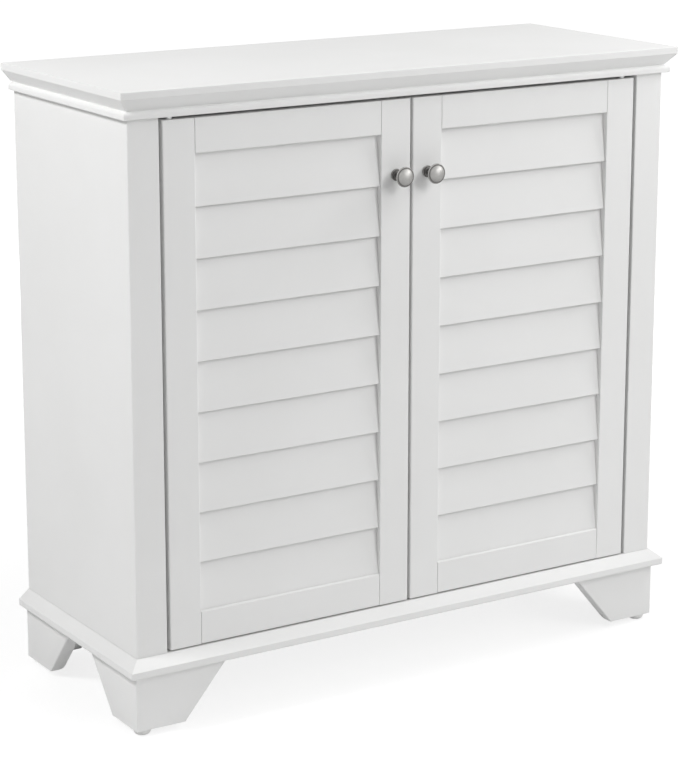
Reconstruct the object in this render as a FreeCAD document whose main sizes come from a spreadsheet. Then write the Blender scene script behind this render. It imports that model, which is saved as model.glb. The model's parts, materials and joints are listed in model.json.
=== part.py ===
import FreeCAD, Part
import math
import os

import Sketcher

# A free-standing cabinet with two louvred doors, on bracket feet.
# Millimetres, +Z up, standing on Z = 0, centred on X = 0, doors towards -Y.
# Each left-hand piece is drawn once and mirrored to the right.

# Driving dimensions
SIZES = {
    # Case
    "case_width": 864.0,
    "case_depth": 333.0,
    "overall_height": 867.0,
    "panel_thickness": 16.0,
    "post_width": 45.5,
    "corner_bevel": 1.0,
    "edge_round": 1.2,
    # Top and the bead under it
    "top_overhang": 16.0,
    "top_back_overhang": 6.0,
    "fascia_height": 9.5,
    "crown_rise": 16.2,
    "crown_run": 13.6,
    "bead_projection": 8.3,
    "bead_height": 10.2,
    "bead_round": 5.0,
    "bead_nose_round": 1.2,
    "neck_height": 1.1,
    "top_rail_depth": 60.0,
    "back_rail_height": 60.0,
    # Back
    "back_thickness": 4.0,
    "rebate_width": 9.0,
    "rebate_depth": 5.0,
    "back_clearance": 0.3,
    # Base moulding and feet
    "base_overhang": 16.0,
    "base_nose_height": 10.5,
    "base_slope_height": 13.0,
    "base_nose_round": 3.5,
    "quirk_width": 0.7,
    "quirk_depth": 1.2,
    "foot_height": 78.0,
    "foot_offset": 4.0,
    "foot_bottom_width": 74.0,
    "foot_top_width": 140.0,
    "foot_edge_round": 2.0,
    "foot_inner_round": 7.0,
    "block_width": 40.0,
    "block_height": 55.0,
    "glide_height": 9.0,
    "glide_radius": 11.5,
    "glide_round": 5.0,
    "glide_inset": 15.0,
    "back_glide_inset": 45.0,
    "back_glide_setback": 12.0,
    # Shelf
    "shelf_setback": 45.0,
    "shelf_back_gap": 4.0,
    "shelf_end_gap": 1.0,
    "pin_hole_radius": 2.5,
    "pin_hole_depth": 9.0,
    "pin_clearance": 0.1,
    "pin_row_inset": 70.0,
    "pin_pitch": 64.0,
    "pin_first_height": 285.0,
    "pin_length": 9.0,
    "pin_width": 10.0,
    "pin_height": 6.0,
    "pin_seat": 3.2,
    # Doors
    "door_side_gap": 5.0,
    "door_centre_gap": 4.0,
    "door_top_gap": 5.0,
    "door_bottom_gap": 2.2,
    "door_thickness": 22.0,
    "stile_width": 47.0,
    "top_rail_height": 46.0,
    "bottom_rail_height": 46.8,
    "door_edge_round": 1.8,
    "joint_round": 1.0,
    "shoulder_gap": 0.4,
    "ledge_bevel": 2.0,
    "tenon_length": 20.0,
    "tenon_height": 22.0,
    "tenon_thickness": 8.0,
    "tenon_inset": 8.0,
    "joint_clearance": 0.2,
    # Louvres
    "louvre_count": 9.0,
    "louvre_thickness": 5.0,
    "louvre_overlap": 8.0,
    "louvre_tilt": 6.3,
    "louvre_setback": 2.9,
    "louvre_round": 1.0,
    "louvre_sink": 2.4,
    "housing_depth": 6.0,
    "lip_clearance": 0.6,
    # Knobs
    "knob_drop": 102.3,
    "knob_projection": 30.5,
    "knob_radius": 14.0,
    "knob_base_radius": 8.3,
    "knob_base_height": 2.6,
    "knob_collar_radius": 6.3,
    "knob_collar_height": 1.6,
    "knob_neck_radius": 4.4,
    "knob_neck_height": 9.0,
    "knob_flare_radius": 9.5,
    "knob_ring_height": 21.2,
    "knob_ring_thickness": 2.6,
    "knob_dome_radius": 11.7,
    "knob_dome_height": 6.5,
    "screw_radius": 2.0,
    "screw_clearance": 0.15,
    "screw_reach": 10.0,
    "screw_head_radius": 4.2,
    "screw_head_height": 2.4,
    # Pivot hinges
    "pivot_inset": 15.0,
    "pivot_radius": 3.0,
    "pivot_clearance": 0.05,
    "pivot_depth": 20.0,
    "pivot_reach": 8.0,
    "collar_radius": 5.0,
    "bush_radius": 5.0,
    "bush_length": 9.5,
    "bush_flange_radius": 6.5,
    "bush_flange_height": 1.0,
    "running_gap": 0.3,
    # Magnetic catches
    "strike_thickness": 1.2,
    "strike_width": 30.0,
    "strike_height": 11.0,
    "strike_drop": 1.0,
    "catch_width": 42.0,
    "catch_depth": 14.0,
    "catch_height": 13.0,
    "catch_round": 1.5,
    "catch_gap": 0.4,
}

doc = FreeCAD.newDocument("louvred_cabinet")
sheet = doc.addObject("Spreadsheet::Sheet", "Sizes")
for row, (size_name, number) in enumerate(SIZES.items(), start=1):
    sheet.set(f"A{row}", size_name)
    sheet.set(f"B{row}", str(number))
    sheet.setAlias(f"B{row}", size_name)
doc.recompute()


class Size:
    """A size worked out from the sheet: its number, and the expression that follows the sheet."""

    def __init__(self, value, text):
        self.value = value
        self.text = text

    def __add__(self, other):
        other = as_size(other)
        return Size(self.value + other.value, f"({self.text} + {other.text})")

    def __sub__(self, other):
        other = as_size(other)
        return Size(self.value - other.value, f"({self.text} - {other.text})")

    def __mul__(self, other):
        other = as_size(other)
        return Size(self.value * other.value, f"({self.text} * {other.text})")

    def __truediv__(self, other):
        other = as_size(other)
        return Size(self.value / other.value, f"({self.text} / {other.text})")

    def __neg__(self):
        return Size(-self.value, f"(0 - {self.text})")


def as_size(number):
    return number if isinstance(number, Size) else Size(number, str(number))


def sine(angle):
    return Size(math.sin(math.radians(angle.value)), f"sin({angle.text})")


def cosine(angle):
    return Size(math.cos(math.radians(angle.value)), f"cos({angle.text})")


class Sheet:
    """The cells of the sheet as sizes, by name."""

    def __getattr__(self, name):
        return Size(SIZES[name], f"Sizes.{name}")


s = Sheet()

# Places that several pieces share
half_width = s.case_width / 2
face_y = (s.knob_projection - s.case_depth - s.top_back_overhang) / 2
back_y = face_y + s.case_depth
base_bottom = s.glide_height + s.foot_height
base_height = s.base_nose_height + s.base_slope_height
base_top = base_bottom + base_height
top_underside = s.overall_height - s.fascia_height - s.crown_rise
case_height = top_underside - base_bottom
bead_bottom = top_underside - s.neck_height - s.bead_height
inside_depth = s.case_depth - s.rebate_depth
door_bottom = base_top + s.door_bottom_gap
door_height = bead_bottom - s.door_top_gap - door_bottom
door_width = half_width - s.post_width - s.door_side_gap - s.door_centre_gap / 2
door_x = s.post_width + s.door_side_gap - half_width
foot_thickness = s.foot_offset + s.panel_thickness
pivot_x = door_x + s.pivot_inset
pivot_y = face_y + s.door_thickness / 2
louvre_count = int(SIZES["louvre_count"])

nodes = []


def bind(thing, path, size):
    """Ties one property of an object to the sheet."""
    thing.setExpression(path, as_size(size).text)


def place(thing, x, y, z):
    bind(thing, "Placement.Base.x", x)
    bind(thing, "Placement.Base.y", y)
    bind(thing, "Placement.Base.z", z)


def node(thing, label):
    """Marks an object as a sub-part of its own."""
    thing.Label = label
    nodes.append(thing)
    return thing


def new_body(name, x, y, z):
    body = doc.addObject("PartDesign::Body", name)
    place(body, x, y, z)
    return body


def origin_feature(body, role):
    return [feature for feature in body.Origin.OriginFeatures if feature.Role == role][0]


def hold(sketch, edge, end, point):
    """Fixes one end of a sketch edge at its two coordinates."""
    rules = (("DistanceX", -2, point[0]), ("DistanceY", -1, point[1]))
    for rule, axis, coordinate in rules:
        size = as_size(coordinate)
        if size.value == 0:
            sketch.addConstraint(Sketcher.Constraint("PointOnObject", edge, end, axis))
        else:
            row = sketch.addConstraint(Sketcher.Constraint(rule, -1, 1, edge, end, size.value))
            bind(sketch, f"Constraints[{row}]", size)


def arc_between(start, end, radius):
    """The short arc from start to end, anticlockwise, of the given radius."""
    chord = end - start
    rise = math.sqrt(radius ** 2 - (chord.Length / 2) ** 2)
    left = FreeCAD.Vector(-chord.y, chord.x, 0).normalize()
    centre = start + chord / 2 + left * rise
    circle = Part.Circle(centre, FreeCAD.Vector(0, 0, 1), radius)
    return Part.ArcOfCircle(circle, circle.parameter(start), circle.parameter(end))


def draw_loop(sketch, points):
    """Draws a closed outline, anticlockwise. A third entry in a point bends the edge after it."""
    first = sketch.GeometryCount
    corners = [FreeCAD.Vector(as_size(p[0]).value, as_size(p[1]).value, 0) for p in points]
    count = len(points)
    for i, point in enumerate(points):
        start, end = corners[i], corners[(i + 1) % count]
        bent = len(point) == 3
        shape = arc_between(start, end, point[2].value) if bent else Part.LineSegment(start, end)
        sketch.addGeometry(shape, False)
    for i in range(count):
        following = first + (i + 1) % count
        sketch.addConstraint(Sketcher.Constraint("Coincident", first + i, 2, following, 1))
    for i, point in enumerate(points):
        hold(sketch, first + i, 1, point)
        if len(point) == 3:
            rule = Sketcher.Constraint("Radius", first + i, point[2].value)
            bind(sketch, f"Constraints[{sketch.addConstraint(rule)}]", point[2])


def new_sketch(body, plane, offset=None):
    sketch = body.newObject("Sketcher::SketchObject", f"{body.Name}_sketch")
    sketch.AttachmentSupport = [(origin_feature(body, plane), "")]
    sketch.MapMode = "FlatFace"
    if offset is not None:
        bind(sketch, "AttachmentOffset.Base.z", offset)
    return sketch


def outline(body, plane, *loops, offset=None):
    """A sketch of one or more closed outlines on one of the body's own planes."""
    sketch = new_sketch(body, plane, offset)
    for loop in loops:
        draw_loop(sketch, loop)
    return sketch


def circles(body, plane, radius, centres, offset=None):
    """A sketch of equal circles."""
    sketch = new_sketch(body, plane, offset)
    for x, y in centres:
        centre = FreeCAD.Vector(as_size(x).value, as_size(y).value, 0)
        edge = sketch.addGeometry(Part.Circle(centre, FreeCAD.Vector(0, 0, 1), radius.value), False)
        row = sketch.addConstraint(Sketcher.Constraint("Radius", edge, radius.value))
        bind(sketch, f"Constraints[{row}]", radius)
        hold(sketch, edge, 3, (x, y))
    return sketch


def pad(body, sketch, length, reverse=False):
    feature = body.newObject("PartDesign::Pad", f"{body.Name}_pad")
    feature.Profile = sketch
    feature.Reversed = reverse
    bind(feature, "Length", length)
    doc.recompute()
    return feature


def pocket(body, sketch, length, reverse=False):
    """Cuts into the body, and stops the build if nothing was cut."""
    before = body.Shape.Volume
    feature = body.newObject("PartDesign::Pocket", f"{body.Name}_pocket")
    feature.Profile = sketch
    feature.Reversed = reverse
    bind(feature, "Length", length)
    doc.recompute()
    if not body.Shape.Volume < before:
        raise RuntimeError(f"{feature.Name} cuts nothing")
    return feature


def revolve(body, points):
    """Turns a half section, drawn as (radius, height), about the body's Z axis."""
    feature = body.newObject("PartDesign::Revolution", f"{body.Name}_turn")
    feature.Profile = outline(body, "XZ_Plane", points)
    feature.ReferenceAxis = (origin_feature(body, "Z_Axis"), [""])
    feature.Angle = 360
    doc.recompute()
    return feature


def edges_along(body, axis, **at):
    """Names of the body's straight edges that run along an axis through the given places."""
    names = []
    for number, edge in enumerate(body.Shape.Edges, start=1):
        if edge.Curve.TypeId != "Part::GeomLine":
            continue
        run = edge.Vertexes[1].Point - edge.Vertexes[0].Point
        spread = max(abs(getattr(run, other)) for other in "xyz" if other != axis)
        local = body.Placement.inverse().multVec(edge.CenterOfMass)
        here = all(abs(getattr(local, key) - as_size(size).value) < 1e-3 for key, size in at.items())
        if spread < 1e-3 and here:
            names.append(f"Edge{number}")
    return names


def edges_of_length(body, length):
    return [f"Edge{number}" for number, edge in enumerate(body.Shape.Edges, start=1)
            if abs(edge.Length - length) < 1e-3]


def round_edges(body, radius, *edge_lists):
    tip = body.Tip
    feature = body.newObject("PartDesign::Fillet", f"{body.Name}_fillet")
    feature.Base = (tip, [name for names in edge_lists for name in names])
    bind(feature, "Radius", radius)
    doc.recompute()


def rectangle(width, depth):
    return [(0, 0), (width, 0), (width, depth), (0, depth)]


def box(name, corner, size):
    thing = doc.addObject("Part::Box", name)
    for side, length in zip(("Length", "Width", "Height"), size):
        bind(thing, side, length)
    place(thing, *corner)
    return thing


def mirror_x(thing, name):
    """The same piece on the right-hand side."""
    copy = doc.addObject("Part::Mirroring", name)
    copy.Source = thing
    copy.Normal = FreeCAD.Vector(1, 0, 0)
    return copy


def mirror_y(thing, name, middle):
    """The same piece on the other side of a plane across the depth."""
    copy = doc.addObject("Part::Mirroring", name)
    copy.Source = thing
    copy.Normal = FreeCAD.Vector(0, 1, 0)
    bind(copy, "Base.y", middle)
    return copy


def group(label, things):
    """One node of several separate solids."""
    compound = doc.addObject("Part::Compound", label)
    compound.Links = things
    return node(compound, label)


def left_and_right(thing, piece):
    """Names a left-hand piece and adds its mirror image."""
    node(thing, f"left_{piece}")
    node(mirror_x(thing, f"right_{piece}"), f"right_{piece}")


# Top and mouldings


def make_top_panel():
    length = s.case_width + s.top_overhang * 2
    depth = s.case_depth + s.top_overhang + s.top_back_overhang
    height = s.fascia_height + s.crown_rise
    body = new_body("top_panel", -half_width - s.top_overhang, face_y - s.top_overhang, top_underside)
    pad(body, outline(body, "XY_Plane", rectangle(length, depth)), height)
    bevel = [(0, 0), (s.crown_run, 0), (0, s.crown_rise)]
    right_bevel = [(length, 0), (length, s.crown_rise), (length - s.crown_run, 0)]
    pocket(body, outline(body, "YZ_Plane", bevel), length, reverse=True)
    pocket(body, outline(body, "XZ_Plane", bevel, right_bevel), depth)
    upper = [edges_along(body, "x", z=height), edges_along(body, "y", z=height)]
    corners = [edges_along(body, "z", x=0, y=0), edges_along(body, "z", x=length, y=0)]
    round_edges(body, s.edge_round, *upper, *corners)
    node(body, "top_panel")


def make_mouldings(family, z, reach, section, rounds):
    """A front and two side strips, mitred at the front corners. section is (outward, up), rounds are
    (outward, up, radius) of the long edges that are rounded."""
    length = s.case_width + reach * 2
    front = new_body(f"{family}_front", -half_width - reach, face_y - reach, z)
    pad(front, outline(front, "YZ_Plane", [(reach - out, up) for out, up in section][::-1]), length)
    for out, up, radius in rounds:
        round_edges(front, radius, edges_along(front, "x", y=reach - out, z=up))
    left_end = [(0, 0), (reach, reach), (0, reach)]
    right_end = [(length, 0), (length, reach), (length - reach, reach)]
    pocket(front, outline(front, "XY_Plane", left_end, right_end), case_height, reverse=True)
    node(front, f"{family}_front")

    side = new_body(f"{family}_left", -half_width - reach, face_y - reach, z)
    sketch = outline(side, "XZ_Plane", [(reach - out, up) for out, up in section][::-1])
    pad(side, sketch, s.case_depth + reach, reverse=True)
    for out, up, radius in rounds:
        round_edges(side, radius, edges_along(side, "y", x=reach - out, z=up))
    front_end = [(0, 0), (reach, 0), (reach, reach)]
    pocket(side, outline(side, "XY_Plane", front_end), case_height, reverse=True)
    node(side, f"{family}_left")
    node(mirror_x(side, f"{family}_right"), f"{family}_right")


def make_crown():
    full_height = s.bead_height + s.neck_height
    neck_projection = s.top_overhang - s.crown_run
    section = [
        (as_size(0), as_size(0)),
        (s.bead_projection, as_size(0)),
        (s.bead_projection, s.bead_height),
        (neck_projection, s.bead_height),
        (neck_projection, full_height),
        (as_size(0), full_height),
    ]
    rounds = [
        (s.bead_projection, s.bead_height, s.bead_round),
        (s.bead_projection, as_size(0), s.bead_nose_round),
    ]
    make_mouldings("crown", bead_bottom, s.bead_projection, section, rounds)


def make_base():
    section = [
        (as_size(0), as_size(0)),
        (s.base_overhang, as_size(0)),
        (s.base_overhang, s.base_nose_height),
        (s.quirk_width, base_height),
        (s.quirk_width, base_height - s.quirk_depth),
        (as_size(0), base_height - s.quirk_depth),
    ]
    rounds = [
        (s.base_overhang, s.base_nose_height, s.edge_round),
        (s.base_overhang, as_size(0), s.base_nose_round),
    ]
    make_mouldings("base", base_bottom, s.base_overhang, section, rounds)


# Case


def pin_heights():
    """Heights of the shelf pin holes above the foot of the side panel, lowest first."""
    return [s.pin_first_height + s.pin_pitch * step for step in range(3)]


def make_side_panels():
    thickness, depth, bevel = s.panel_thickness, s.case_depth, s.corner_bevel
    step = thickness - s.rebate_width
    body = new_body("left_side_panel", -half_width, face_y, base_bottom)
    plan = [
        (bevel / 2, bevel / 2),
        (thickness, thickness),
        (thickness, inside_depth),
        (step, inside_depth),
        (step, depth),
        (0, depth),
        (0, bevel),
    ]
    pad(body, outline(body, "XY_Plane", plan), case_height)
    rows = (s.pin_row_inset, inside_depth - s.pin_row_inset)
    holes = [(y, z) for y in rows for z in pin_heights()]
    sketch = circles(body, "YZ_Plane", s.pin_hole_radius, holes, offset=thickness)
    pocket(body, sketch, s.pin_hole_depth)
    left_and_right(body, "side_panel")


def make_front_posts():
    thickness, bevel = s.panel_thickness, s.corner_bevel
    body = new_body("left_front_post", -half_width, face_y, base_bottom)
    plan = [
        (bevel, 0),
        (s.post_width, 0),
        (s.post_width, thickness),
        (thickness, thickness),
        (bevel / 2, bevel / 2),
    ]
    pad(body, outline(body, "XY_Plane", plan), case_height)
    round_edges(body, s.edge_round, edges_along(body, "z", x=s.post_width, y=0))
    left_and_right(body, "front_post")


def notched_plan(depth):
    """A board between the side panels whose front edge comes forward between the posts."""
    width, post, thickness = s.case_width, s.post_width, s.panel_thickness
    return [
        (post, 0),
        (width - post, 0),
        (width - post, thickness),
        (width - thickness, thickness),
        (width - thickness, depth),
        (thickness, depth),
        (thickness, thickness),
        (post, thickness),
    ]


def make_notched_board(label, z, depth, height):
    """A notched board with a bore for the bush of each pivot."""
    body = new_body(label, -half_width, face_y, z)
    pad(body, outline(body, "XY_Plane", notched_plan(depth)), height)
    x = pivot_x + half_width
    y = pivot_y - face_y
    centres = [(x, y), (s.case_width - x, y)]
    bore = circles(body, "XY_Plane", s.bush_radius + s.pivot_clearance, centres)
    pocket(body, bore, height, reverse=True)
    node(body, label)


def make_case_boards():
    make_notched_board("top_front_rail", bead_bottom, s.top_rail_depth, top_underside - bead_bottom)
    make_notched_board("bottom_panel", base_top - s.panel_thickness, inside_depth, s.panel_thickness)
    inside_y = face_y + inside_depth
    rail_x = s.panel_thickness - half_width
    corner = (rail_x, inside_y - s.panel_thickness, top_underside - s.back_rail_height)
    size = (s.case_width - s.panel_thickness * 2, s.panel_thickness, s.back_rail_height)
    node(box("top_back_rail", corner, size), "top_back_rail")
    inset = s.panel_thickness - s.rebate_width + s.back_clearance
    corner = (inset - half_width, inside_y, base_bottom)
    size = (s.case_width - inset * 2, s.back_thickness, case_height)
    node(box("back_panel", corner, size), "back_panel")


# Feet


def make_foot_board(name, x, y, along_y):
    """One board of a bracket foot, upright, slanted at one end, mitred at the other, round inside below."""
    thickness = foot_thickness
    body = new_body(name, x, y, s.glide_height)
    profile = [(0, 0), (s.foot_bottom_width, 0), (s.foot_top_width, s.foot_height), (0, s.foot_height)]
    if along_y:
        pad(body, outline(body, "YZ_Plane", profile), thickness)
        inner = edges_along(body, "y", x=thickness, z=0)
        mitre = [(0, 0), (thickness, 0), (thickness, thickness)]
    else:
        pad(body, outline(body, "XZ_Plane", profile), thickness, reverse=True)
        inner = edges_along(body, "x", y=thickness, z=0)
        mitre = [(0, 0), (thickness, thickness), (0, thickness)]
    round_edges(body, s.foot_inner_round, inner)
    slant = math.hypot((s.foot_top_width - s.foot_bottom_width).value, s.foot_height.value)
    round_edges(body, s.foot_edge_round, edges_of_length(body, slant))
    pocket(body, outline(body, "XY_Plane", mitre), s.foot_height, reverse=True)
    return body


def make_feet():
    corner_x = -half_width - s.foot_offset
    corner_y = face_y - s.foot_offset
    middle_y = (corner_y + back_y) / 2
    boards = [
        make_foot_board("foot_front_board", corner_x, corner_y, along_y=False),
        make_foot_board("foot_side_board", corner_x, corner_y, along_y=True),
    ]
    front = group("front_left_foot", boards)
    node(mirror_x(front, "front_right_foot"), "front_right_foot")
    back = node(mirror_y(front, "back_left_foot", middle_y), "back_left_foot")
    node(mirror_x(back, "back_right_foot"), "back_right_foot")

    block_bottom = base_bottom - s.block_height
    corner = (corner_x + foot_thickness, corner_y + foot_thickness, block_bottom)
    size = (s.block_width, s.block_width, base_top - s.panel_thickness - block_bottom)
    block = box("foot_block", corner, size)
    group("foot_blocks", at_four_corners(block, "foot_block", middle_y))

    front_glide = make_glide("front_glide", corner_x + s.glide_inset, corner_y + s.glide_inset)
    back_glide = make_glide("back_glide", corner_x + s.back_glide_inset, back_y - s.back_glide_setback)
    right_glides = [mirror_x(front_glide, "front_glide_right"), mirror_x(back_glide, "back_glide_right")]
    group("foot_glides", [front_glide, back_glide, *right_glides])


def make_glide(name, x, y):
    glide = new_body(name, x, y, 0)
    radius, bend, height = s.glide_radius, s.glide_round, s.glide_height
    revolve(glide, [(0, 0), (radius - bend, 0, bend), (radius, bend), (radius, height), (0, height)])
    return glide


def at_four_corners(thing, name, middle_y):
    """A front left piece and its three mirror images."""
    back = mirror_y(thing, f"{name}_back", middle_y)
    return [thing, back, mirror_x(thing, f"{name}_right"), mirror_x(back, f"{name}_back_right")]


# Shelf


def make_shelf():
    pin_top = base_bottom + pin_heights()[1] + s.pin_seat
    x = s.panel_thickness + s.shelf_end_gap - half_width
    width = s.case_width - (s.panel_thickness + s.shelf_end_gap) * 2
    depth = inside_depth - s.shelf_setback - s.shelf_back_gap
    body = new_body("shelf", x, face_y + s.shelf_setback, pin_top)
    pad(body, outline(body, "XY_Plane", rectangle(width, depth)), s.panel_thickness)
    edges = [edges_along(body, "x", y=0, z=0), edges_along(body, "x", y=0, z=s.panel_thickness)]
    round_edges(body, s.edge_round, *edges)
    node(body, "shelf")

    pins = [make_shelf_pin("front", s.pin_row_inset, pin_top)]
    pins.append(make_shelf_pin("back", inside_depth - s.pin_row_inset, pin_top))
    pins += [mirror_x(pin, f"{pin.Name}_right") for pin in pins]
    group("shelf_pins", pins)


def make_shelf_pin(name, row_y, pin_top):
    """A plug in the side panel and a flat tongue under the shelf, from the panel's inner face."""
    top = s.pin_seat
    body = new_body(f"shelf_pin_{name}", s.panel_thickness - half_width, face_y + row_y, pin_top - top)
    plug = circles(body, "YZ_Plane", s.pin_hole_radius - s.pin_clearance, [(0, 0)])
    pad(body, plug, s.pin_hole_depth - s.pin_clearance, reverse=True)
    half = s.pin_width / 2
    low = top - s.pin_height
    tongue = outline(body, "YZ_Plane", [(-half, low), (half, low), (half, top), (-half, top)])
    pad(body, tongue, s.pin_length)
    return body


# Doors: every piece is drawn from the lower outer front corner of the left door


def door_body(name, x, y, z):
    return new_body(name, door_x + x, face_y + y, door_bottom + z)


def louvre_pitch():
    return (door_height - s.top_rail_height - s.bottom_rail_height) / louvre_count


def louvre_height():
    """Width of a slat, measured along its slope."""
    return (louvre_pitch() + s.louvre_overlap) / cosine(s.louvre_tilt)


def louvre_rise():
    """Height of the lowest slat's lower front edge over the bottom rail: below zero, behind its lip."""
    return s.louvre_thickness * sine(s.louvre_tilt) + s.joint_clearance - s.louvre_sink


def louvre_base(number):
    """Height of the lower front edge of a slat in the door. Number 1 is the top one."""
    return s.bottom_rail_height + louvre_rise() + louvre_pitch() * (louvre_count - number)


def housing_loop(number):
    """The sloped slot that holds the end of one slat, in the plane of the stile's inner edge."""
    gap = s.joint_clearance
    rise, run = cosine(s.louvre_tilt), sine(s.louvre_tilt)
    across = s.louvre_thickness + gap * 2
    up = louvre_height() + gap * 2
    y = s.louvre_setback - gap * rise - gap * run
    z = louvre_base(number) + gap * run - gap * rise
    return [
        (y, z),
        (y + across * rise, z - across * run),
        (y + across * rise + up * run, z - across * run + up * rise),
        (y + up * run, z + up * rise),
    ]


def mortise_loops():
    """The mortises for the tenons of the two rails."""
    gap = s.joint_clearance
    y1 = (s.door_thickness - s.tenon_thickness) / 2 - gap
    y2 = y1 + s.tenon_thickness + gap * 2
    z1 = s.tenon_inset - gap
    z2 = z1 + s.tenon_height + gap * 2
    lower = [(y1, z1), (y2, z1), (y2, z2), (y1, z2)]
    upper = [(y, door_height - z) for y, z in lower][::-1]
    return lower, upper


def make_stile(name, x, inner_x, cut_reversed):
    """A full-height stile with its front edges rounded, and the joints cut in its inner edge."""
    width, thickness = s.stile_width, s.door_thickness
    body = door_body(name, x, 0, 0)
    pad(body, outline(body, "XY_Plane", rectangle(width, thickness)), door_height)
    outer_x = width - inner_x
    round_edges(body, s.joint_round, edges_along(body, "z", x=inner_x, y=0))
    outer = [edges_along(body, "z", x=outer_x, y=0), edges_along(body, "z", x=outer_x, y=thickness)]
    round_edges(body, s.door_edge_round, *outer)
    mortise_depth = s.tenon_length + s.joint_clearance
    pocket(body, outline(body, "YZ_Plane", *mortise_loops(), offset=inner_x), mortise_depth, cut_reversed)
    housings = [housing_loop(number) for number in range(1, louvre_count + 1)]
    pocket(body, outline(body, "YZ_Plane", *housings, offset=inner_x), s.housing_depth, cut_reversed)
    return body


def make_stiles():
    hinge = make_stile("left_hinge_stile", as_size(0), s.stile_width, False)
    centre = [(s.pivot_inset, s.door_thickness / 2)]
    bore = s.pivot_radius + s.pivot_clearance
    depth = s.pivot_depth + s.joint_clearance
    pocket(hinge, circles(hinge, "XY_Plane", bore, centre), depth, reverse=True)
    pocket(hinge, circles(hinge, "XY_Plane", bore, centre, offset=door_height), depth)
    left_and_right(hinge, "hinge_stile")

    lock = make_stile("left_lock_stile", door_width - s.stile_width, as_size(0), True)
    knob_at = [(s.stile_width / 2, door_height - s.knob_drop)]
    hole = circles(lock, "XZ_Plane", s.screw_radius + s.screw_clearance, knob_at)
    pocket(lock, hole, s.door_thickness)
    left_and_right(lock, "lock_stile")


def make_rail(name, z, section, tenon_z):
    """A rail between the stiles, with a stub tenon at each end and a fine gap at each shoulder."""
    length = door_width - (s.stile_width + s.shoulder_gap) * 2
    body = door_body(name, s.stile_width + s.shoulder_gap, as_size(0), z)
    pad(body, outline(body, "YZ_Plane", section), length)
    ends = [edges_along(body, "z", x=0, y=0), edges_along(body, "z", x=length, y=0)]
    round_edges(body, s.joint_round, *ends, edges_along(body, "x", y=0))
    y = (s.door_thickness - s.tenon_thickness) / 2
    y2 = y + s.tenon_thickness
    z2 = tenon_z + s.tenon_height
    tenon = [(y, tenon_z), (y2, tenon_z), (y2, z2), (y, z2)]
    pad(body, outline(body, "YZ_Plane", tenon), s.tenon_length, reverse=True)
    pad(body, outline(body, "YZ_Plane", tenon, offset=length), s.tenon_length)
    return body


def make_rails():
    """The top rail hides the top slat behind a lip, and the lowest slat stands behind the bottom rail's."""
    thickness, height = s.door_thickness, s.top_rail_height
    lean = (louvre_pitch() - louvre_rise()) * sine(s.louvre_tilt) / cosine(s.louvre_tilt)
    lip = s.louvre_setback + lean - s.lip_clearance
    cover = s.louvre_overlap + louvre_rise() + s.joint_clearance * 2
    section = [(0, 0), (lip, 0), (lip, cover), (thickness, cover), (thickness, height), (0, height)]
    tenon_z = height - s.tenon_inset - s.tenon_height
    top = make_rail("left_top_rail", door_height - height, section, tenon_z)
    left_and_right(top, "top_rail")
    height, bevel = s.bottom_rail_height, s.ledge_bevel
    lip = s.louvre_setback - s.joint_clearance
    floor = height - s.louvre_sink
    section = [
        (0, 0),
        (thickness, 0),
        (thickness, floor),
        (lip, floor),
        (lip, height),
        (bevel, height),
        (0, height - bevel),
    ]
    bottom = make_rail("left_bottom_rail", as_size(0), section, s.tenon_inset)
    left_and_right(bottom, "bottom_rail")


def make_louvres():
    reach = s.housing_depth - s.joint_clearance
    length = door_width - s.stile_width * 2 + reach * 2
    across, up = s.louvre_thickness, louvre_height()
    for number in range(1, louvre_count + 1):
        z = louvre_base(number)
        body = door_body(f"left_louvre_{number}", s.stile_width - reach, s.louvre_setback, z)
        body.Placement.Rotation = FreeCAD.Rotation(FreeCAD.Vector(1, 0, 0), 0)
        bind(body, "Placement.Rotation.Angle", -s.louvre_tilt)
        pad(body, outline(body, "YZ_Plane", rectangle(across, up)), length)
        round_edges(body, s.louvre_round, edges_of_length(body, length.value))
        left_and_right(body, f"louvre_{number}")


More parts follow.
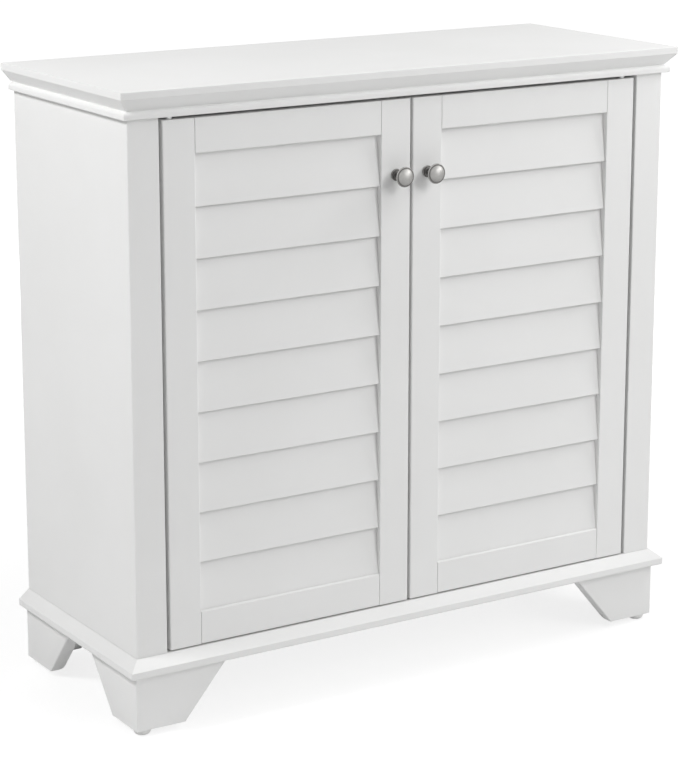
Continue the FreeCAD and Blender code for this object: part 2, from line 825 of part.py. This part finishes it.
def make_knobs():
    x = door_width - s.stile_width / 2
    z = door_height - s.knob_drop
    knob = door_body("left_knob", x, as_size(0), z)
    knob.Placement.Rotation = FreeCAD.Rotation(FreeCAD.Vector(1, 0, 0), 90)
    bore = s.screw_radius + s.screw_clearance
    bore_depth = s.screw_reach + s.screw_clearance
    collar_top = s.knob_base_height + s.knob_collar_height
    dome_base = s.knob_projection - s.knob_dome_height
    ring_top = s.knob_ring_height + s.knob_ring_thickness
    half_ring = s.knob_ring_thickness / 2
    dome_bend = (s.knob_dome_radius * s.knob_dome_radius + s.knob_dome_height * s.knob_dome_height)
    dome_bend = dome_bend / (s.knob_dome_height * 2)
    revolve(knob, [
        (bore, 0),
        (s.knob_base_radius - s.knob_base_height / 2, 0, s.knob_base_height / 2),
        (s.knob_base_radius, s.knob_base_height / 2, s.knob_base_height / 2),
        (s.knob_base_radius - s.knob_base_height / 2, s.knob_base_height),
        (s.knob_collar_radius, s.knob_base_height),
        (s.knob_collar_radius, collar_top),
        (s.knob_neck_radius, collar_top),
        (s.knob_neck_radius, s.knob_neck_height),
        (s.knob_flare_radius, s.knob_ring_height - s.knob_ring_thickness),
        (s.knob_radius - half_ring, s.knob_ring_height, half_ring),
        (s.knob_radius, s.knob_ring_height + half_ring, half_ring),
        (s.knob_radius - half_ring, ring_top),
        (s.knob_dome_radius, ring_top),
        (s.knob_dome_radius, dome_base, dome_bend),
        (0, s.knob_projection),
        (0, bore_depth),
        (bore, bore_depth),
    ])
    left_and_right(knob, "knob")

    screw = door_body("left_knob_screw", x, s.door_thickness, z)
    screw.Placement.Rotation = FreeCAD.Rotation(FreeCAD.Vector(1, 0, 0), 90)
    reach = s.door_thickness + s.screw_reach
    head, cap = s.screw_head_radius, s.screw_head_height
    revolve(screw, [
        (0, -cap),
        (head - cap / 2, -cap, cap / 2),
        (head, -cap / 2),
        (head, 0),
        (s.screw_radius, 0),
        (s.screw_radius, reach),
        (0, reach),
    ])
    left_and_right(screw, "knob_screw")


# Hinges and catches


def make_pivot(name, z, gap, flip):
    """A pin in the end of the hinge stile, with a collar in the gap. Its origin is at the door's end."""
    body = new_body(name, pivot_x, pivot_y, z)
    body.Placement.Rotation = FreeCAD.Rotation(FreeCAD.Vector(1, 0, 0), flip)
    pin = s.pivot_radius
    collar_top = gap - s.bush_flange_height - s.running_gap
    pin_top = gap + s.pivot_reach
    revolve(body, [
        (0, -s.pivot_depth),
        (pin, -s.pivot_depth),
        (pin, 0),
        (s.collar_radius, 0),
        (s.collar_radius, collar_top),
        (pin, collar_top),
        (pin, pin_top),
        (0, pin_top),
    ])
    return body


def make_bush(name, z, flip):
    """A flanged bush in the case, round the end of a pivot pin. Its origin is on the case."""
    body = new_body(name, pivot_x, pivot_y, z)
    body.Placement.Rotation = FreeCAD.Rotation(FreeCAD.Vector(1, 0, 0), flip)
    bore = s.pivot_radius + s.pivot_clearance
    revolve(body, [
        (bore, -s.bush_flange_height),
        (s.bush_flange_radius, -s.bush_flange_height),
        (s.bush_flange_radius, 0),
        (s.bush_radius, 0),
        (s.bush_radius, s.bush_length),
        (bore, s.bush_length),
    ])
    return body


def make_hinges():
    upper = make_pivot("upper_pivot", door_bottom + door_height, s.door_top_gap, 0)
    lower = make_pivot("lower_pivot", door_bottom, s.door_bottom_gap, 180)
    pivots = [upper, lower]
    group("left_pivots", pivots)
    group("right_pivots", [mirror_x(pin, f"{pin.Name}_right") for pin in pivots])
    bushes = [make_bush("upper_bush", bead_bottom, 0), make_bush("lower_bush", base_top, 180)]
    bushes += [mirror_x(bush, f"{bush.Name}_right") for bush in bushes]
    group("pivot_bushes", bushes)


def make_catches():
    stile_middle = door_x + door_width - s.stile_width / 2
    strike_y = face_y + s.door_thickness
    strike_z = door_bottom + door_height - s.strike_drop - s.strike_height
    corner = (stile_middle - s.strike_width / 2, strike_y, strike_z)
    size = (s.strike_width, s.strike_thickness, s.strike_height)
    left_and_right(box("left_strike_plate", corner, size), "strike_plate")
    catch_y = strike_y + s.strike_thickness + s.catch_gap
    catch_x = stile_middle - s.catch_width / 2
    catch = new_body("catch", catch_x, catch_y, bead_bottom - s.catch_height)
    pad(catch, outline(catch, "XY_Plane", rectangle(s.catch_width, s.catch_depth)), s.catch_height)
    round_edges(catch, s.catch_round, edges_along(catch, "z"))
    group("door_catches", [catch, mirror_x(catch, "catch_right")])


make_top_panel()
make_crown()
make_side_panels()
make_front_posts()
make_case_boards()
make_base()
make_feet()
make_shelf()
make_stiles()
make_rails()
make_louvres()
make_knobs()
make_hinges()
make_catches()
doc.recompute()

for thing in doc.Objects:
    if "Invalid" in thing.State or "Error" in thing.State:
        raise RuntimeError(f"{thing.Label} failed: {thing.State}")
for thing in nodes:
    if thing.Shape.isNull() or not thing.Shape.isValid():
        raise RuntimeError(f"{thing.Label} has no valid shape")

os.makedirs("parts", exist_ok=True)
for thing in nodes:
    thing.Shape.exportStep(f"parts/{thing.Label}.step")
print(f"{len(nodes)} nodes written")
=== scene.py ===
import json
import math

import bmesh
import bpy
from mathutils import Euler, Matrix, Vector


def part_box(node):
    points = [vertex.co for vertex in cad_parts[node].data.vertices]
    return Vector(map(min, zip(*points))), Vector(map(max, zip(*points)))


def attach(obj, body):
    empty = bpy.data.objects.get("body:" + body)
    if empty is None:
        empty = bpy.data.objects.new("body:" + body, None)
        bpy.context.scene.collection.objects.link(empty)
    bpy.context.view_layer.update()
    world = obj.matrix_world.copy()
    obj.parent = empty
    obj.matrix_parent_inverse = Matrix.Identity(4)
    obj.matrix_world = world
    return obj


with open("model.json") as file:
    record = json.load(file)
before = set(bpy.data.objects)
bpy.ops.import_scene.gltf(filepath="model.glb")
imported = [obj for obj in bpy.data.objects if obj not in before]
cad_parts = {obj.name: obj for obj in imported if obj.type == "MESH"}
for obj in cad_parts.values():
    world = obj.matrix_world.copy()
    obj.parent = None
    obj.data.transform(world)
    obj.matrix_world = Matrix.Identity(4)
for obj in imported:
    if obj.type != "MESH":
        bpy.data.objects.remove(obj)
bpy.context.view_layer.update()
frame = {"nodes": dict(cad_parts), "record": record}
nodes = frame["nodes"]

# The longer side of the photograph's frame, in pixels, and of the camera's sensor, in millimetres
IMAGE_LONG_SIDE = 763
SENSOR_MM = 36.0

# Camera: place in metres, aim in degrees, focal length and shift in pixels of the frame
CAMERA_PLACE = (-1.853, -2.9114, 1.2977)
CAMERA_YAW = 32.217
CAMERA_PITCH = 13.254
CAMERA_FOCAL = 2478.7
CAMERA_SHIFT = -60.0

# Light: the world's share, then each soft lamp's place, target, size and power
WORLD_STRENGTH = 0.25
LAMPS = {
    "left_key": ((-2.2, 0.0, 2.2), (-0.4, 0.0, 0.5), 0.5, 39.5),
    "front_softbox": ((0.9, -2.6, 2.0), (0.1, 0.0, 0.45), 1.2, 28.5),
    "right_softbox": ((1.0, -1.6, 2.4), (0.4, 0.0, 0.5), 0.8, 7.0),
    "right_key": ((1.9, -0.6, 2.0), (0.3, -0.1, 0.4), 0.8, 22.5),
    "back_softbox": ((0.9, 2.8, 0.5), (0.0, 0.0, 0.42), 0.7, 22.0),
}

# Floor: its width, the distances over which its own glow rises to white, and that glow beside the object
FLOOR_WIDTH = 60.0
FLOOR_NEAR = 0.6
FLOOR_FAR = 2.2
FLOOR_GLOW = 0.8

# Colours: the floor as it lights the object and as it is seen, and the background
FLOOR_LIT = (0.8, 0.8, 0.8, 1.0)
FLOOR_SEEN = (0.25, 0.25, 0.25, 1.0)
WHITE = (1.0, 1.0, 1.0, 1.0)

# The range that most of a noise texture's values keep to
NOISE_LOW = 0.3
NOISE_HIGH = 0.7

# Brush marks in the paint, per metre across and along the stroke
BRUSH_ACROSS = 900.0
BRUSH_ALONG = 14.0

# Nails in the back panel, in metres, and the profile of a head as shares of its radius and height
NAIL_RADIUS = 0.0034
NAIL_HEIGHT = 0.0009
NAIL_SIDES = 20
NAIL_EDGE = 0.006
NAIL_SPACING = 0.095
NAIL_PROFILE = ((0.9, -0.3), (0.96, 0.1), (1.0, 0.3), (0.97, 0.52), (0.8, 0.78), (0.45, 0.95))


class Shader:
    """A node material with a Principled shader, built by short calls."""

    def __init__(self, name, **values):
        self.material = bpy.data.materials.new(name)
        self.material.use_nodes = True
        self.tree = self.material.node_tree
        self.bsdf = self.tree.nodes["Principled BSDF"]
        for socket, value in values.items():
            self.bsdf.inputs[socket.replace("_", " ")].default_value = value
        self.place = self.node("ShaderNodeTexCoord").outputs["Object"]

    def node(self, kind, **values):
        made = self.tree.nodes.new(kind)
        for name, value in values.items():
            setattr(made, name, value)
        return made

    def link(self, source, target):
        self.tree.links.new(source, target)

    def stretched(self, scale):
        """The object's coordinates, scaled along each axis."""
        mapping = self.node("ShaderNodeMapping")
        mapping.inputs["Scale"].default_value = scale
        self.link(self.place, mapping.inputs["Vector"])
        return mapping.outputs["Vector"]

    def noise(self, place, scale, detail):
        texture = self.node("ShaderNodeTexNoise")
        texture.inputs["Scale"].default_value = scale
        texture.inputs["Detail"].default_value = detail
        self.link(place, texture.inputs["Vector"])
        return texture.outputs["Fac"]

    def span(self, value, low=0.0, high=1.0):
        """Spreads a noise value, which keeps near its middle, over a range."""
        spread = self.node("ShaderNodeMapRange", clamp=True)
        spread.inputs["From Min"].default_value = NOISE_LOW
        spread.inputs["From Max"].default_value = NOISE_HIGH
        spread.inputs["To Min"].default_value = low
        spread.inputs["To Max"].default_value = high
        self.link(value, spread.inputs["Value"])
        return spread.outputs["Result"]

    def tint(self, value, low, high):
        """A colour between two others, each a plain colour or another node's."""
        mix = self.node("ShaderNodeMix", data_type="RGBA")
        for name, color in (("A", low), ("B", high)):
            socket = [one for one in mix.inputs if one.name == name and one.type == "RGBA"][0]
            if isinstance(color, tuple):
                socket.default_value = (*color, 1.0)
            else:
                self.link(color, socket)
        self.link(value, mix.inputs["Factor"])
        return [out for out in mix.outputs if out.type == "RGBA"][0]

    def ramp(self, value, stops):
        """A grey level that follows the stops, a dict of place and level."""
        ramp = self.node("ShaderNodeValToRGB")
        elements = ramp.color_ramp.elements
        while len(elements) < len(stops):
            elements.new(0.5)
        for element, (place, level) in zip(elements, sorted(stops.items())):
            element.position = place
            element.color = (level, level, level, 1.0)
        self.link(value, ramp.inputs["Fac"])
        return ramp.outputs["Color"]

    def bump(self, height, strength, distance, below=None):
        bump = self.node("ShaderNodeBump")
        bump.inputs["Strength"].default_value = strength
        bump.inputs["Distance"].default_value = distance
        self.link(height, bump.inputs["Height"])
        if below is not None:
            self.link(below, bump.inputs["Normal"])
        return bump.outputs["Normal"]

    def number(self, operation, *values):
        """A number worked out from others, each a plain number or another node's."""
        made = self.node("ShaderNodeMath", operation=operation)
        for socket, value in zip(made.inputs, values):
            if isinstance(value, float):
                socket.default_value = value
            else:
                self.link(value, socket)
        return made.outputs["Value"]

    def finish(self, color, roughness, normal):
        self.link(color, self.bsdf.inputs["Base Color"])
        self.link(roughness, self.bsdf.inputs["Roughness"])
        self.link(normal, self.bsdf.inputs["Normal"])
        return self.material


def paint(name, run):
    """Satin white paint on a board. run is the axis that the brush followed: 0, 1 or 2."""
    shader = Shader(name, Specular_IOR_Level=0.25)
    stroke = [BRUSH_ACROSS, BRUSH_ACROSS, BRUSH_ACROSS]
    stroke[run] = BRUSH_ALONG
    strokes = shader.noise(shader.stretched(stroke), scale=1.0, detail=2.0)
    pores = shader.noise(shader.place, scale=850.0, detail=2.0)
    cloud = shader.noise(shader.place, scale=5.0, detail=4.0)
    color = shader.tint(shader.span(cloud), low=(0.815, 0.815, 0.808), high=(0.84, 0.84, 0.835))
    roughness = shader.span(strokes, low=0.54, high=0.64)
    normal = shader.bump(pores, strength=0.08, distance=0.0002)
    normal = shader.bump(strokes, strength=0.06, distance=0.0002, below=normal)
    return shader.finish(color, roughness, normal)


def turned_metal(name, low, high, dark, roughness, painted_shade):
    """Satin metal turned on a lathe about Y, with painted shade in its grooves and recesses: the last
    argument gives how dark it is at shares of its depth.
    """
    shader = Shader(name, Metallic=1.0)
    generated = shader.tree.nodes["Texture Coordinate"].outputs["Generated"]
    split = shader.node("ShaderNodeSeparateXYZ")
    shader.link(generated, split.inputs["Vector"])
    squares = []
    for axis in ("X", "Z"):
        offset = shader.number("SUBTRACT", split.outputs[axis], 0.5)
        squares.append(shader.number("MULTIPLY", offset, offset))
    radius = shader.number("SQRT", shader.number("ADD", *squares))
    rings = shader.node("ShaderNodeTexNoise", noise_dimensions="1D")
    rings.inputs["Scale"].default_value = 130.0
    rings.inputs["Detail"].default_value = 2.0
    shader.link(radius, rings.inputs["W"])
    turning = rings.outputs["Fac"]
    cloud = shader.noise(shader.place, scale=160.0, detail=3.0)
    clean = shader.tint(shader.span(cloud), low, high)
    # Painted shade: the nickel darkens in the knob's groove, flare, neck and base, by depth along Y
    color = shader.tint(shader.ramp(split.outputs["Y"], painted_shade), clean, dark)
    normal = shader.bump(turning, strength=0.1, distance=0.0001)
    return shader.finish(color, shader.span(turning, *roughness), normal)


def plated_steel(name, low, high):
    """Zinc plated steel, with a faint mottle between two greys."""
    shader = Shader(name, Metallic=1.0)
    mottle = shader.noise(shader.place, scale=420.0, detail=4.0)
    color = shader.tint(shader.span(mottle), low, high)
    normal = shader.bump(mottle, strength=0.05, distance=0.0002)
    return shader.finish(color, shader.span(mottle, low=0.28, high=0.42), normal)


def moulded_plastic(name, low, high):
    """Moulded plastic with a fine spark-eroded grain."""
    shader = Shader(name)
    grain = shader.noise(shader.place, scale=2600.0, detail=2.0)
    cloud = shader.noise(shader.place, scale=90.0, detail=3.0)
    color = shader.tint(shader.span(cloud), low, high)
    normal = shader.bump(grain, strength=0.15, distance=0.0001)
    return shader.finish(color, shader.span(grain, low=0.42, high=0.58), normal)


PAINT = [paint(f"white_paint_along_{axis}", run) for run, axis in enumerate("xyz")]

# Painted shade and dark reflections on the nickel: how dark it is, by shares of the knob's depth from
# the top of its dome to the door
KNOB_PAINTED_SHADE = {
    # Dome, and the groove round it
    0.0: 0.0, 0.19: 0.05, 0.207: 0.7, 0.222: 0.7,
    # Ring
    0.228: 0.0, 0.29: 0.05,
    # Flare behind the ring
    0.31: 0.7, 0.34: 0.7, 0.42: 0.35, 0.62: 0.5, 0.7: 0.8,
    # Neck and collar
    0.84: 0.75, 0.862: 0.35, 0.905: 0.35,
    # Base on the door
    0.915: 0.8, 0.935: 0.25, 0.985: 0.4, 1.0: 0.9,
}
NICKEL = turned_metal("satin_nickel", low=(0.34, 0.335, 0.325), high=(0.4, 0.395, 0.385),
                      dark=(0.05, 0.048, 0.045), roughness=(0.48, 0.58), painted_shade=KNOB_PAINTED_SHADE)
STEEL = plated_steel("plated_steel", (0.58, 0.59, 0.6), (0.74, 0.74, 0.73))
DULL_STEEL = plated_steel("dull_steel", (0.3, 0.305, 0.31), (0.45, 0.45, 0.44))
GLIDE = moulded_plastic("glide_plastic", (0.78, 0.78, 0.77), (0.83, 0.83, 0.82))
WHITE_PLASTIC = moulded_plastic("white_plastic", (0.76, 0.76, 0.75), (0.82, 0.82, 0.81))

SLOT_MATERIALS = {
    "satin_nickel": NICKEL,
    "steel": STEEL,
    "glide_plastic": GLIDE,
    "white_plastic": WHITE_PLASTIC,
}


def longest_axis(name):
    low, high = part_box(name)
    sides = [high[axis] - low[axis] for axis in range(3)]
    return sides.index(max(sides))


def dress_nodes():
    """Gives every CAD node its material, with painted boards brushed along their length."""
    slots = {part["node"]: part["material_slot"] for part in frame["record"]["subparts"]}
    for name, thing in nodes.items():
        slot = slots[name]
        material = SLOT_MATERIALS[slot] if slot in SLOT_MATERIALS else PAINT[longest_axis(name)]
        thing.data.materials.clear()
        thing.data.materials.append(material)


def nail_head(mesh, x, y, z):
    """A low dome with a rounded rim, turned to +Y, its underside sunk into the board at y."""
    turns = [2.0 * math.pi * side / NAIL_SIDES for side in range(NAIL_SIDES)]
    rings = []
    for share, rise in NAIL_PROFILE:
        radius = share * NAIL_RADIUS
        height = y + rise * NAIL_HEIGHT
        places = [(x + radius * math.cos(turn), height, z + radius * math.sin(turn)) for turn in turns]
        rings.append([mesh.verts.new(place) for place in places])
    crown = mesh.verts.new((x, y + NAIL_HEIGHT, z))
    for side in range(NAIL_SIDES):
        after = (side + 1) % NAIL_SIDES
        for below, above in zip(rings, rings[1:]):
            mesh.faces.new((below[side], below[after], above[after], above[side]))
        mesh.faces.new((rings[-1][side], rings[-1][after], crown))
    mesh.faces.new(rings[0])


def even_places(low, high):
    """Places from low to high, about one nail spacing apart."""
    steps = round((high - low) / NAIL_SPACING)
    return [low + (high - low) * step / steps for step in range(steps + 1)]


def make_back_nails():
    """Nails around the back panel, into the sides, the back rail and the bottom panel."""
    panel_low, panel_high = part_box("back_panel")
    rail_low, rail_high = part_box("top_back_rail")
    bottom_low, bottom_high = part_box("bottom_panel")
    left = panel_low[0] + NAIL_EDGE
    right = panel_high[0] - NAIL_EDGE
    lower = (bottom_low[2] + bottom_high[2]) / 2.0
    upper = (rail_low[2] + rail_high[2]) / 2.0
    places = [(x, z) for x in even_places(left, right) for z in (lower, upper)]
    places += [(x, z) for z in even_places(lower, upper)[1:-1] for x in (left, right)]
    mesh = bmesh.new()
    for x, z in places:
        nail_head(mesh, x, panel_high[1], z)
    bmesh.ops.recalc_face_normals(mesh, faces=mesh.faces)
    data = bpy.data.meshes.new("back_panel_nails")
    mesh.to_mesh(data)
    mesh.free()
    for face in data.polygons:
        face.use_smooth = len(face.vertices) < NAIL_SIDES
    data.materials.append(DULL_STEEL)
    nails = bpy.data.objects.new("back_panel_nails", data)
    bpy.context.collection.objects.link(nails)
    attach(nails, "case")


def background_ray(tree):
    """1 for rays that show the background: from the camera, or by way of gloss or glass."""
    path = tree.nodes.new("ShaderNodeLightPath")
    last = path.outputs["Is Camera Ray"]
    for name in ("Is Glossy Ray", "Is Transmission Ray"):
        either = tree.nodes.new("ShaderNodeMath")
        either.operation = "MAXIMUM"
        tree.links.new(last, either.inputs[0])
        tree.links.new(path.outputs[name], either.inputs[1])
        last = either.outputs["Value"]
    return last


def floor_glow(tree):
    """A glow that grows with the distance from the object, until the floor is white."""
    place = tree.nodes.new("ShaderNodeTexCoord")
    distance = tree.nodes.new("ShaderNodeVectorMath")
    distance.operation = "LENGTH"
    tree.links.new(place.outputs["Object"], distance.inputs["Vector"])
    spread = tree.nodes.new("ShaderNodeMapRange")
    spread.inputs["From Min"].default_value = FLOOR_NEAR
    spread.inputs["From Max"].default_value = FLOOR_FAR
    spread.inputs["To Min"].default_value = FLOOR_GLOW
    spread.inputs["To Max"].default_value = 1.0
    tree.links.new(distance.outputs["Value"], spread.inputs["Value"])
    glow = tree.nodes.new("ShaderNodeEmission")
    tree.links.new(spread.outputs["Result"], glow.inputs["Strength"])
    return glow.outputs["Emission"]


def make_floor():
    """A pale floor that looks white, apart from the object's shadow."""
    bpy.ops.mesh.primitive_plane_add(size=FLOOR_WIDTH)
    floor = bpy.context.object
    floor.name = "floor"
    material = bpy.data.materials.new("floor_white")
    material.use_nodes = True
    tree = material.node_tree
    tree.nodes.clear()
    output = tree.nodes.new("ShaderNodeOutputMaterial")
    plain = tree.nodes.new("ShaderNodeBsdfDiffuse")
    plain.inputs["Color"].default_value = FLOOR_LIT
    seen = tree.nodes.new("ShaderNodeBsdfDiffuse")
    seen.inputs["Color"].default_value = FLOOR_SEEN
    both = tree.nodes.new("ShaderNodeAddShader")
    tree.links.new(seen.outputs["BSDF"], both.inputs[0])
    tree.links.new(floor_glow(tree), both.inputs[1])
    mix = tree.nodes.new("ShaderNodeMixShader")
    tree.links.new(background_ray(tree), mix.inputs["Fac"])
    tree.links.new(plain.outputs["BSDF"], mix.inputs[1])
    tree.links.new(both.outputs["Shader"], mix.inputs[2])
    tree.links.new(mix.outputs["Shader"], output.inputs["Surface"])
    floor.data.materials.append(material)


def make_world():
    """A white background, with less of it in the light on the object."""
    world = bpy.data.worlds.new("studio")
    bpy.context.scene.world = world
    world.use_nodes = True
    tree = world.node_tree
    tree.nodes.clear()
    output = tree.nodes.new("ShaderNodeOutputWorld")
    ambient = tree.nodes.new("ShaderNodeBackground")
    ambient.inputs["Color"].default_value = WHITE
    ambient.inputs["Strength"].default_value = WORLD_STRENGTH
    white = tree.nodes.new("ShaderNodeBackground")
    white.inputs["Color"].default_value = WHITE
    mix = tree.nodes.new("ShaderNodeMixShader")
    tree.links.new(background_ray(tree), mix.inputs["Fac"])
    tree.links.new(ambient.outputs["Background"], mix.inputs[1])
    tree.links.new(white.outputs["Background"], mix.inputs[2])
    tree.links.new(mix.outputs["Shader"], output.inputs["Surface"])


def make_lamp(name, place, target, size, power):
    """A square soft lamp at a place, turned to a target."""
    data = bpy.data.lights.new(name, "AREA")
    data.shape = "SQUARE"
    data.size = size
    data.energy = power
    lamp = bpy.data.objects.new(name, data)
    bpy.context.collection.objects.link(lamp)
    lamp.visible_camera = False
    lamp.location = place
    aim = Vector(target) - Vector(place)
    lamp.rotation_euler = aim.to_track_quat("-Z", "Y").to_euler()


def make_camera():
    """The camera at the photograph's place, tilted down to the object."""
    data = bpy.data.cameras.new("camera")
    data.sensor_width = SENSOR_MM
    data.lens = CAMERA_FOCAL * SENSOR_MM / IMAGE_LONG_SIDE
    data.shift_y = CAMERA_SHIFT / IMAGE_LONG_SIDE
    camera = bpy.data.objects.new("camera", data)
    bpy.context.collection.objects.link(camera)
    camera.location = CAMERA_PLACE
    turn = (math.radians(90.0 - CAMERA_PITCH), 0.0, math.radians(-CAMERA_YAW))
    camera.rotation_euler = Euler(turn, "XYZ")
    bpy.context.scene.camera = camera


dress_nodes()
make_back_nails()
make_floor()
make_world()
for lamp_name, lamp in LAMPS.items():
    make_lamp(lamp_name, *lamp)
make_camera()
bpy.context.scene.view_settings.view_transform = "Standard"
